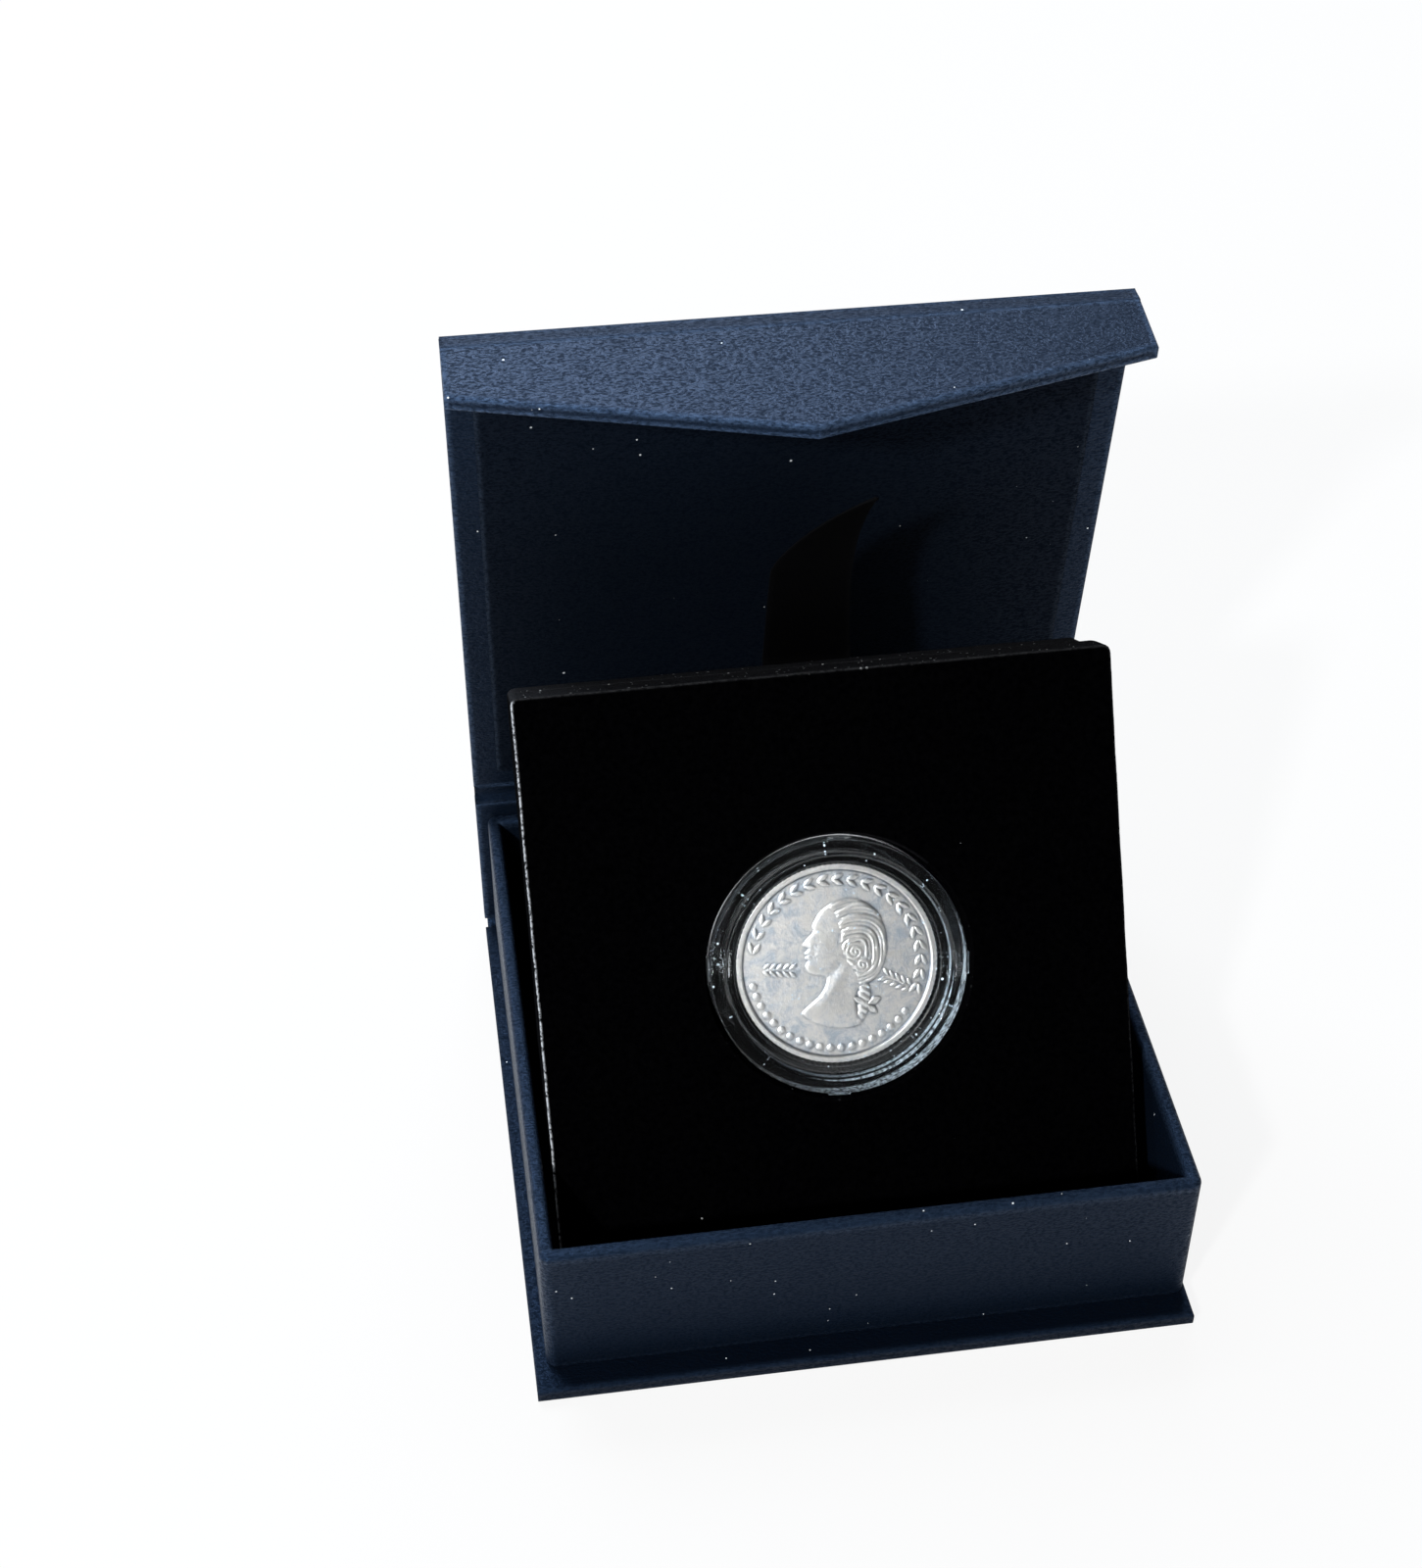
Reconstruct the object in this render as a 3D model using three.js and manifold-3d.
// Coin display box: a book-style rigid gift box, stood open, with a foam insert
// and a coin in a clear capsule.
// Millimetres, +Z up. The origin is the middle of the bottom panel's underside, and the front faces -Y.
import * as THREE from 'three';
import { mergeVertices } from 'three/addons/utils/BufferGeometryUtils.js';
import Module from 'manifold-3d';

// Papers, boards and clearances
const coverPaper = 0.2;
const linerPaper = 0.15;
const glueFilm = 0.05;
const panelBoard = 1.3;
const clearance = 0.3;
const creaseGap = 0.5;

// Case panels
const caseWidth = 78.4;
const baseDepth = 77.6;
const turnIn = 12;
const spineTurnIn = 6;
const flapTurnIn = 3;
const edgeRound = 0.25;
const foldInset = 0.35;
const spineGap = 0.7;
const lidSlack = 0.9;
const linerMargin = 3.2;
const lidLean = 9;
const lidTwist = 0.7;

// Flap
const flapEndLength = 11;
const flapPointLength = 20.5;
const flapBend = 86.7;
const flapLinerMargin = 2;

// Tray
const trayHeight = 20;
const trayBoard = 1.2;
const frontShelf = 3.4;
const leftShelf = 1.4;
const rightShelf = 0.3;
const trayCorner = 1.2;
const trayInnerCorner = 0.1;
const trayEdgeRound = 0.7;

// Magnets in the flap and the tray's front wall
const magnetRadius = 4;
const magnetThickness = 0.85;
const magnetSpread = 12;
const magnetDrop = 10;

// Insert
const insertSlack = 3.3;
const insertLength = 68.8;
const frontFoam = 6;
const backFoam = 4.5;
const backFoamStep = 1.5;
const foamCorner = 0.8;
const insertLean = 57.5;
const insertSetback = 14.9;

// Pull ribbon
const ribbonWidth = 10.6;
const ribbonThickness = 0.25;
const ribbonOffset = 0.8;
const ribbonClearance = 0.15;
const ribbonTailLength = 10;
const ribbonRunStart = 12;
const ribbonRise = 27.6;
const ribbonCurl = 7;
const ribbonCurlStart = 0.35;
const ribbonCutStart = 0.5;
const ribbonCutPower = 1.25;
const ribbonLean = 1.6;
const ribbonSway = 1.9;
const ribbonTipReach = 1;
const ribbonTipWidth = 0.25;

// Capsule
const capsuleThickness = 5.9;
const capsuleFloor = 1.4;
const windowThickness = 0.8;
const windowRecess = 0.4;
const seatRingWall = 0.95;
const skirtGap = 0.3;
const skirtWall = 1.6;
const lipChamfer = 0.3;
const tabWidth = 2.7;
const tabReach = 0.3;
const tabHeight = 1;

// Coin
const coinRadius = 12.13;
const coinThickness = 1.75;
const coinRimWidth = 0.7;
const coinRimHeight = 0.15;
const coinRimSlope = 0.2;
const coinEdgeBevel = 0.1;
const reedCount = 119;
const reedDepth = 0.1;
const coinPlay = 0.22;

// Where the capsule sits in the insert
const capsuleShiftRight = 0.55;
const capsuleShiftDown = 0.6;
const capsuleTurn = 4;

// Facets
const cornerSteps = 5;
const trayRoundSteps = 4;
const foldSteps = 8;
const roundSteps = 72;
const discSteps = 32;
const bevelSteps = 2;
const ribbonRows = 16;

// Sizes that follow from the ones above
const panelThickness = 2 * (coverPaper + glueFilm) + panelBoard;
const halfCase = caseWidth / 2;
const baseBackY = baseDepth / 2;
const spineInnerY = baseBackY + spineGap;
const spineOuterY = spineInnerY + panelThickness;
const foldRadius = spineOuterY - baseBackY - glueFilm;
const spineBottomZ = foldRadius + glueFilm;
const trayTopZ = panelThickness + trayHeight;
const hingeZ = trayTopZ + lidSlack + panelThickness;
const spineTopZ = hingeZ - creaseGap;
const panelStart = panelThickness + creaseGap;
const trayFrontY = -(baseDepth / 2 - frontShelf);
const trayBackY = spineInnerY - glueFilm;
const trayLeftX = leftShelf - halfCase;
const trayRightX = halfCase - rightShelf;
const wallPapers = coverPaper + glueFilm;
const trayWall = trayBoard + 2 * wallPapers;
const trayBottomZ = panelThickness + glueFilm;
const floorTopZ = trayBottomZ + coverPaper;
const lidLength = spineOuterY - trayFrontY + ribbonClearance + panelThickness;
const insertFootY = trayFrontY + trayWall + insertSetback;
const insertFootZ = floorTopZ + 2 * ribbonClearance + ribbonThickness;
const magnetZ = hingeZ - magnetDrop;
const insertWidth = trayRightX - trayLeftX - 2 * trayWall - insertSlack;
const insertThickness = frontFoam + backFoam;
const seatRingInner = coinRadius + coinPlay;
const seatRingOuter = seatRingInner + seatRingWall;
const skirtInner = seatRingOuter + skirtGap;
const capsuleRadius = skirtInner + skirtWall;
const foamHoleRadius = capsuleRadius + tabReach + clearance;
const capsuleBackZ = backFoam + glueFilm + clearance;

const wasm = await Module();
wasm.setup();

// Geometry helpers

function toManifold(geometry) {
  const bare = geometry.clone();
  bare.deleteAttribute('normal');
  bare.deleteAttribute('uv');
  const merged = mergeVertices(bare, 1e-5);
  return new wasm.Manifold(new wasm.Mesh({
    numProp: 3,
    vertProperties: new Float32Array(merged.attributes.position.array),
    triVerts: new Uint32Array(merged.index.array),
  }));
}

function toGeometry(manifold) {
  const mesh = manifold.getMesh();
  const geometry = new THREE.BufferGeometry();
  geometry.setAttribute('position', new THREE.BufferAttribute(new Float32Array(mesh.vertProperties), 3));
  geometry.setIndex(new THREE.BufferAttribute(new Uint32Array(mesh.triVerts), 1));
  return geometry;
}

function cut(geometry, ...tools) {
  const body = tools.reduce((solid, tool) => solid.subtract(toManifold(tool)), toManifold(geometry));
  return toGeometry(body);
}

function join(geometry, ...others) {
  const body = others.reduce((solid, other) => solid.add(toManifold(other)), toManifold(geometry));
  return toGeometry(body);
}

function common(geometry, other) {
  return toGeometry(toManifold(geometry).intersect(toManifold(other)));
}

function box(low, high) {
  const size = high.map((value, i) => value - low[i]);
  const centre = high.map((value, i) => (value + low[i]) / 2);
  return new THREE.BoxGeometry(...size).translate(...centre);
}

function disc(radius, depth, steps = discSteps) {
  return new THREE.CylinderGeometry(radius, radius, depth, steps).rotateX(Math.PI / 2);
}

// A revolved piece whose axis is +Z; the profile is a list of [radius, height].
function turned(profile) {
  const points = profile.map(([radius, height]) => new THREE.Vector2(radius, height));
  return new THREE.LatheGeometry(points, roundSteps).rotateX(Math.PI / 2);
}

// The polygon's sides moved inwards by the distance; the points run counterclockwise.
function inset(points, distance) {
  return points.map((point, i) => {
    const before = points[(i + points.length - 1) % points.length];
    const after = points[(i + 1) % points.length];
    const a = point.clone().sub(before).normalize();
    const b = after.clone().sub(point).normalize();
    const normalA = new THREE.Vector2(-a.y, a.x);
    const normalB = new THREE.Vector2(-b.y, b.x);
    const middle = normalA.clone().add(normalB);
    const scale = distance / (middle.lengthSq() / 2);
    return point.clone().add(middle.multiplyScalar(scale));
  });
}

function slab(points, bottom, top, bevel = 0) {
  const shape = new THREE.Shape(points);
  return new THREE.ExtrudeGeometry(shape, {
    depth: top - bottom - 2 * bevel,
    bevelEnabled: bevel > 0,
    bevelThickness: bevel,
    bevelSize: bevel,
    bevelOffset: -bevel,
    bevelSegments: bevelSteps,
  }).translate(0, 0, bottom + bevel);
}

function rectangle(x0, y0, x1, y1) {
  return [[x0, y0], [x1, y0], [x1, y1], [x0, y1]].map(([x, y]) => new THREE.Vector2(x, y));
}

// A rectangle's outline with round corners, as a list of points that runs counterclockwise.
function roundedOutline(x0, y0, x1, y1, radius) {
  const corners = [
    [x1 - radius, y0 + radius, -90],
    [x1 - radius, y1 - radius, 0],
    [x0 + radius, y1 - radius, 90],
    [x0 + radius, y0 + radius, 180],
  ];
  return corners.flatMap(([cx, cy, start]) =>
    Array.from({ length: cornerSteps + 1 }, (_, i) => {
      const angle = THREE.MathUtils.degToRad(start + (90 * i) / cornerSteps);
      return new THREE.Vector2(cx + radius * Math.cos(angle), cy + radius * Math.sin(angle));
    }));
}

// A closed skin through rings of equally many points. A loft either has both ends capped,
// or closes on its first ring, as a frame does.
function loft(rings, closesOnItself = false) {
  const count = rings[0].length;
  const positions = rings.flat().flatMap((p) => [p.x, p.y, p.z]);
  const index = [];
  const spans = closesOnItself ? rings.length : rings.length - 1;
  for (let r = 0; r < spans; r += 1) {
    const low = r * count;
    const high = ((r + 1) % rings.length) * count;
    for (let i = 0; i < count; i += 1) {
      const next = (i + 1) % count;
      index.push(low + i, low + next, high + next);
      index.push(low + i, high + next, high + i);
    }
  }
  if (!closesOnItself) {
    for (const [ring, flip] of [[0, true], [rings.length - 1, false]]) {
      const centre = positions.length / 3;
      const sum = rings[ring].reduce((total, p) => total.add(p), new THREE.Vector3());
      sum.divideScalar(count);
      positions.push(sum.x, sum.y, sum.z);
      for (let i = 0; i < count; i += 1) {
        const a = ring * count + i;
        const b = ring * count + ((i + 1) % count);
        index.push(...(flip ? [centre, b, a] : [centre, a, b]));
      }
    }
  }
  const geometry = new THREE.BufferGeometry();
  geometry.setAttribute('position', new THREE.Float32BufferAttribute(positions, 3));
  geometry.setIndex(index);
  return geometry;
}

// Materials

function material(color, roughness, metalness = 0) {
  return new THREE.MeshStandardMaterial({ color, roughness, metalness });
}

const finishes = {
  cover: () => material(0x1d2433, 0.62),
  liner: () => material(0x141a26, 0.8),
  board: () => material(0x8d8778, 0.95),
  foam: () => material(0x050506, 1),
  ribbon: () => material(0x08080a, 0.4),
  clear: () => material(0xdfe6ea, 0.08),
  coin: () => material(0xc9c9c4, 0.28, 1),
  steel: () => material(0xa8abb0, 0.35, 1),
};

function piece(parent, name, geometry, finish) {
  const mesh = new THREE.Mesh(geometry, finishes[finish]());
  mesh.name = name;
  parent.add(mesh);
  return mesh;
}

// A wrapped panel lies with its outer face on local Z = 0 and its inner face up.
// Its paper turns in over the inner face by the margin, which leaves the board bare in the middle.
function panelCover(outline, margin) {
  const shell = slab(outline, 0, panelThickness, edgeRound);
  const room = slab(inset(outline, coverPaper), coverPaper, panelThickness - coverPaper);
  const opening = slab(inset(outline, margin), panelThickness / 2, 2 * panelThickness);
  return cut(shell, room, opening);
}

function panelCore(outline) {
  return slab(inset(outline, wallPapers), wallPapers, panelThickness - wallPapers);
}

function panelLiner(outline, margin) {
  const bottom = panelThickness + glueFilm;
  return slab(inset(outline, margin), bottom, bottom + linerPaper);
}

// A paper fold as a flat strip that starts at a crease on the local X axis.
function foldStrip() {
  const reach = halfCase - foldInset;
  return box([-reach, creaseGap / 2, 0], [reach, panelStart - glueFilm, coverPaper]);
}

// Bottom panel and spine

function addBase(parent) {
  const outline = rectangle(-halfCase, -baseDepth / 2, halfCase, baseBackY);
  piece(parent, 'base_cover', panelCover(outline, turnIn), 'cover');
  piece(parent, 'base_board', panelCore(outline), 'board');
}

// The covering paper turns up from the bottom panel to the spine in a quarter circle.
function addBaseFold(parent) {
  const reach = halfCase - foldInset;
  const centreY = baseBackY + glueFilm;
  const shape = new THREE.Shape();
  shape.absarc(0, 0, foldRadius, -Math.PI / 2, 0, false);
  shape.absarc(0, 0, foldRadius - coverPaper, 0, -Math.PI / 2, true);
  const along = new THREE.Matrix4().makeBasis(
    new THREE.Vector3(0, 1, 0), new THREE.Vector3(0, 0, 1), new THREE.Vector3(1, 0, 0));
  const options = { depth: 2 * reach, bevelEnabled: false, curveSegments: foldSteps };
  const geometry = new THREE.ExtrudeGeometry(shape, options)
    .applyMatrix4(along)
    .translate(-reach, centreY, foldRadius);
  piece(parent, 'base_fold', geometry, 'cover');
}

function addSpine(parent) {
  const spine = new THREE.Group();
  spine.position.set(0, spineOuterY, 0);
  spine.rotation.x = Math.PI / 2;
  parent.add(spine);
  const outline = rectangle(-halfCase, spineBottomZ, halfCase, spineTopZ);
  piece(spine, 'spine_cover', panelCover(outline, spineTurnIn), 'cover');
  piece(spine, 'spine_board', panelCore(outline), 'board');
}

// Tray

function trayRing(depth, height) {
  const radius = Math.max(trayCorner - depth, trayInnerCorner);
  return roundedOutline(
    trayLeftX + depth, trayFrontY + depth, trayRightX - depth, trayBackY - depth, radius,
  ).map((p) => new THREE.Vector3(p.x, p.y, height));
}

// The wall paper goes up the outside, over the rounded top edge and down the inside.
function addTrayCover(parent) {
  const bend = trayEdgeRound;
  const outerRound = Array.from({ length: trayRoundSteps + 1 }, (_, i) => {
    const angle = (Math.PI / 2) * (i / trayRoundSteps);
    return [bend * (1 - Math.cos(angle)), trayTopZ - bend * (1 - Math.sin(angle))];
  });
  const innerRound = outerRound.map(([depth, height]) => [trayWall - depth, height]).reverse();
  const channelTop = trayTopZ - coverPaper - glueFilm;
  const profile = [
    [0, trayBottomZ],
    ...outerRound,
    ...innerRound,
    [trayWall, trayBottomZ],
    [trayWall - coverPaper, trayBottomZ],
    [trayWall - coverPaper, channelTop - bend],
    [trayWall - bend, channelTop],
    [bend, channelTop],
    [coverPaper, channelTop - bend],
    [coverPaper, trayBottomZ],
  ];
  const rings = profile.map(([depth, height]) => trayRing(depth, height));
  piece(parent, 'tray_cover', loft(rings, true), 'cover');
}

// The four wall boards are one frame cut apart at butt joints; the front and back boards run full width.
function addTrayBoards(parent) {
  const low = trayBottomZ;
  const high = trayTopZ - coverPaper - 2 * glueFilm;
  const chamfer = trayEdgeRound;
  const inner = wallPapers + trayBoard;
  const frame = loft([
    trayRing(wallPapers, low),
    trayRing(wallPapers, high - chamfer),
    trayRing(chamfer + glueFilm, high),
    trayRing(trayWall - chamfer - glueFilm, high),
    trayRing(inner, high - chamfer),
    trayRing(inner, low),
  ], true);
  const frontEnd = trayFrontY + inner;
  const backEnd = trayBackY - inner;
  const far = 2 * caseWidth;
  const joint = glueFilm / 2;
  const front = common(frame, box([-far, -far, 0], [far, frontEnd + joint, far]));
  const back = common(frame, box([-far, backEnd - joint, 0], [far, far, far]));
  const left = common(frame, box([-far, frontEnd + 2 * joint, 0], [0, backEnd - 2 * joint, far]));
  const right = common(frame, box([0, frontEnd + 2 * joint, 0], [far, backEnd - 2 * joint, far]));
  const pockets = [-1, 1].map((side) => {
    const depth = magnetThickness + 2 * glueFilm;
    return disc(magnetRadius + glueFilm, 2 * depth)
      .rotateX(Math.PI / 2)
      .translate(side * magnetSpread, trayFrontY + wallPapers, magnetZ);
  });
  piece(parent, 'tray_front_board', cut(front, ...pockets), 'board');
  piece(parent, 'tray_back_board', back, 'board');
  piece(parent, 'tray_left_board', left, 'board');
  piece(parent, 'tray_right_board', right, 'board');
}

function addTrayMagnets(parent) {
  for (const [name, side] of [['left', -1], ['right', 1]]) {
    const geometry = disc(magnetRadius, magnetThickness)
      .rotateX(Math.PI / 2)
      .translate(
        side * magnetSpread,
        trayFrontY + wallPapers + glueFilm + magnetThickness / 2,
        magnetZ);
    piece(parent, `tray_magnet_${name}`, geometry, 'steel');
  }
}

function addTrayFloor(parent) {
  const edge = trayWall + glueFilm;
  const liner = box(
    [trayLeftX + edge, trayFrontY + edge, trayBottomZ],
    [trayRightX - edge, trayBackY - edge, floorTopZ]);
  piece(parent, 'tray_floor_liner', liner, 'liner');
}

// Lid and flap

function addLid(parent) {
  const lid = new THREE.Group();
  lid.position.set(0, spineOuterY, hingeZ);
  lid.rotation.x = Math.PI / 2 + THREE.MathUtils.degToRad(lidLean);
  lid.rotation.y = -THREE.MathUtils.degToRad(lidTwist);
  parent.add(lid);
  const outline = rectangle(-halfCase, panelStart, halfCase, lidLength - creaseGap);
  piece(lid, 'lid_cover', panelCover(outline, turnIn), 'cover');
  piece(lid, 'lid_board', panelCore(outline), 'board');
  piece(lid, 'lid_liner', panelLiner(outline, linerMargin), 'liner');
  piece(lid, 'lid_fold', foldStrip(), 'cover');
  return lid;
}

function addFlap(lid) {
  const flap = new THREE.Group();
  flap.position.set(0, lidLength, 0);
  flap.rotation.x = THREE.MathUtils.degToRad(flapBend);
  lid.add(flap);
  const outline = [
    [-halfCase, panelStart],
    [halfCase, panelStart],
    [halfCase, flapEndLength],
    [0, flapPointLength],
    [-halfCase, flapEndLength],
  ].map(([x, y]) => new THREE.Vector2(x, y));
  piece(flap, 'flap_cover', panelCover(outline, flapTurnIn), 'cover');
  const pocketDepth = magnetThickness + 2 * glueFilm;
  const coreTop = panelThickness - wallPapers;
  const pockets = [-1, 1].map((side) =>
    disc(magnetRadius + glueFilm, 2 * pocketDepth).translate(side * magnetSpread, magnetDrop, coreTop));
  piece(flap, 'flap_board', cut(panelCore(outline), ...pockets), 'board');
  piece(flap, 'flap_liner', panelLiner(outline, flapLinerMargin), 'liner');
  piece(flap, 'flap_fold', foldStrip(), 'cover');
  for (const [name, side] of [['left', -1], ['right', 1]]) {
    const geometry = disc(magnetRadius, magnetThickness)
      .translate(side * magnetSpread, magnetDrop, coreTop - glueFilm - magnetThickness / 2);
    piece(flap, `flap_magnet_${name}`, geometry, 'steel');
  }
}

// Insert: local Y runs up its slope and local Z out of its front face, from its back lower edge

function addInsert(parent) {
  const insert = new THREE.Group();
  insert.position.set(0, insertFootY, insertFootZ);
  insert.rotation.x = THREE.MathUtils.degToRad(insertLean);
  parent.add(insert);
  const half = insertWidth / 2;
  const back = roundedOutline(-half, 0, half - backFoamStep, insertLength, foamCorner);
  const front = roundedOutline(-half, 0, half, insertLength, foamCorner);
  const hole = disc(foamHoleRadius, 4 * frontFoam, roundSteps)
    .translate(capsuleShiftRight, insertLength / 2 - capsuleShiftDown, insertThickness);
  piece(insert, 'insert_back_foam', slab(back, 0, backFoam), 'foam');
  piece(insert, 'insert_front_foam', cut(slab(front, backFoam + glueFilm, insertThickness), hole), 'foam');
  addRibbonRun(insert);
  addCapsule(insert);
  return insert;
}

// Ribbon: a tail on the tray's floor, a run up the insert's back and a free end above it

function addRibbonTail(parent) {
  const half = ribbonWidth / 2;
  const bottom = floorTopZ + glueFilm;
  const tail = box(
    [ribbonOffset - half, insertFootY, bottom],
    [ribbonOffset + half, insertFootY + ribbonTailLength, bottom + ribbonThickness]);
  piece(parent, 'ribbon_tail', tail, 'ribbon');
}

function addRibbonRun(insert) {
  const half = ribbonWidth / 2;
  const run = box(
    [ribbonOffset - half, ribbonRunStart, -ribbonClearance - ribbonThickness],
    [ribbonOffset + half, insertLength, -ribbonClearance]);
  piece(insert, 'ribbon_run', run, 'ribbon');
}

// The free end stands straight up behind the insert, curls forward near its top and ends in a slanting cut.
function addRibbonEnd(parent) {
  const lean = THREE.MathUtils.degToRad(insertLean);
  const rootY = insertFootY + insertLength * Math.cos(lean) + ribbonClearance;
  const rootZ = insertFootZ + insertLength * Math.sin(lean) + ribbonClearance;
  const half = ribbonWidth / 2;
  const cutReach = ribbonWidth + ribbonTipReach - ribbonLean - ribbonTipWidth;
  const rings = Array.from({ length: ribbonRows + 1 }, (_, row) => {
    const t = row / ribbonRows;
    const curl = Math.max(0, (t - ribbonCurlStart) / (1 - ribbonCurlStart));
    const slant = Math.max(0, (t - ribbonCutStart) / (1 - ribbonCutStart));
    const y = rootY - ribbonCurl * curl ** 2;
    const z = rootZ + ribbonRise * t;
    const right = ribbonOffset + half - ribbonSway * t + (ribbonSway + ribbonTipReach) * t ** 2;
    const left = ribbonOffset - half + ribbonLean * t + cutReach * slant ** ribbonCutPower;
    return [[left, y], [right, y], [right, y + ribbonThickness], [left, y + ribbonThickness]]
      .map(([px, py]) => new THREE.Vector3(px, py, z));
  });
  piece(parent, 'ribbon_end', loft(rings), 'ribbon');
}

// Capsule and coin: local Z runs out of the insert's front face, from the capsule's back

function addCapsule(insert) {
  const capsule = new THREE.Group();
  capsule.position.set(capsuleShiftRight, insertLength / 2 - capsuleShiftDown, capsuleBackZ);
  capsule.rotation.z = -THREE.MathUtils.degToRad(capsuleTurn);
  insert.add(capsule);
  piece(capsule, 'capsule_base', capsuleBase(), 'clear');
  piece(capsule, 'capsule_cover', capsuleCover(), 'clear');
  const coin = piece(capsule, 'coin', coinBody(), 'coin');
  coin.position.z = capsuleFloor + clearance;
}

const windowBottom = capsuleThickness - windowRecess - windowThickness;

function capsuleBase() {
  const ringTop = windowBottom - clearance;
  return turned([
    [0, 0],
    [capsuleRadius - lipChamfer, 0],
    [capsuleRadius, lipChamfer],
    [capsuleRadius, capsuleFloor],
    [seatRingOuter, capsuleFloor],
    [seatRingOuter, ringTop - lipChamfer],
    [seatRingOuter - lipChamfer, ringTop],
    [seatRingInner + lipChamfer, ringTop],
    [seatRingInner, ringTop - lipChamfer],
    [seatRingInner, capsuleFloor],
    [0, capsuleFloor],
  ]);
}

function capsuleCover() {
  const shell = turned([
    [0, windowBottom],
    [skirtInner, windowBottom],
    [skirtInner, capsuleFloor + clearance],
    [capsuleRadius, capsuleFloor + clearance],
    [capsuleRadius, capsuleThickness - lipChamfer],
    [capsuleRadius - lipChamfer, capsuleThickness],
    [skirtInner + lipChamfer, capsuleThickness],
    [skirtInner, capsuleThickness - windowRecess],
    [0, capsuleThickness - windowRecess],
  ]);
  const tabs = [0, 1, 2, 3].map((quarter) =>
    box([skirtInner + lipChamfer, -tabWidth / 2, capsuleThickness - lipChamfer - tabHeight],
      [capsuleRadius + tabReach, tabWidth / 2, capsuleThickness - lipChamfer])
      .rotateZ((quarter * Math.PI) / 2));
  return join(shell, ...tabs);
}

// The coin has a raised rim on both faces and a reeded edge.
function coinBody() {
  const field = coinRadius - coinRimWidth;
  const faces = [
    [field - coinRimSlope, coinRimHeight],
    [field, 0],
    [coinRadius - coinEdgeBevel, 0],
    [coinRadius, coinEdgeBevel],
  ];
  const profile = [
    ...faces,
    ...faces.map(([radius, height]) => [radius, coinThickness - height]).reverse(),
  ];
  const count = 2 * reedCount;
  const rings = profile.map(([radius, height]) =>
    Array.from({ length: count }, (_, i) => {
      const angle = (2 * Math.PI * i) / count;
      const groove = radius === coinRadius && i % 2 === 1 ? reedDepth : 0;
      return new THREE.Vector3(
        (radius - groove) * Math.cos(angle), (radius - groove) * Math.sin(angle), height);
    }));
  return loft(rings);
}

const coinDisplayBox = new THREE.Group();
addBase(coinDisplayBox);
addBaseFold(coinDisplayBox);
addSpine(coinDisplayBox);
addTrayBoards(coinDisplayBox);
addTrayCover(coinDisplayBox);
addTrayMagnets(coinDisplayBox);
addTrayFloor(coinDisplayBox);
addFlap(addLid(coinDisplayBox));
addInsert(coinDisplayBox);
addRibbonTail(coinDisplayBox);
addRibbonEnd(coinDisplayBox);

export default coinDisplayBox;
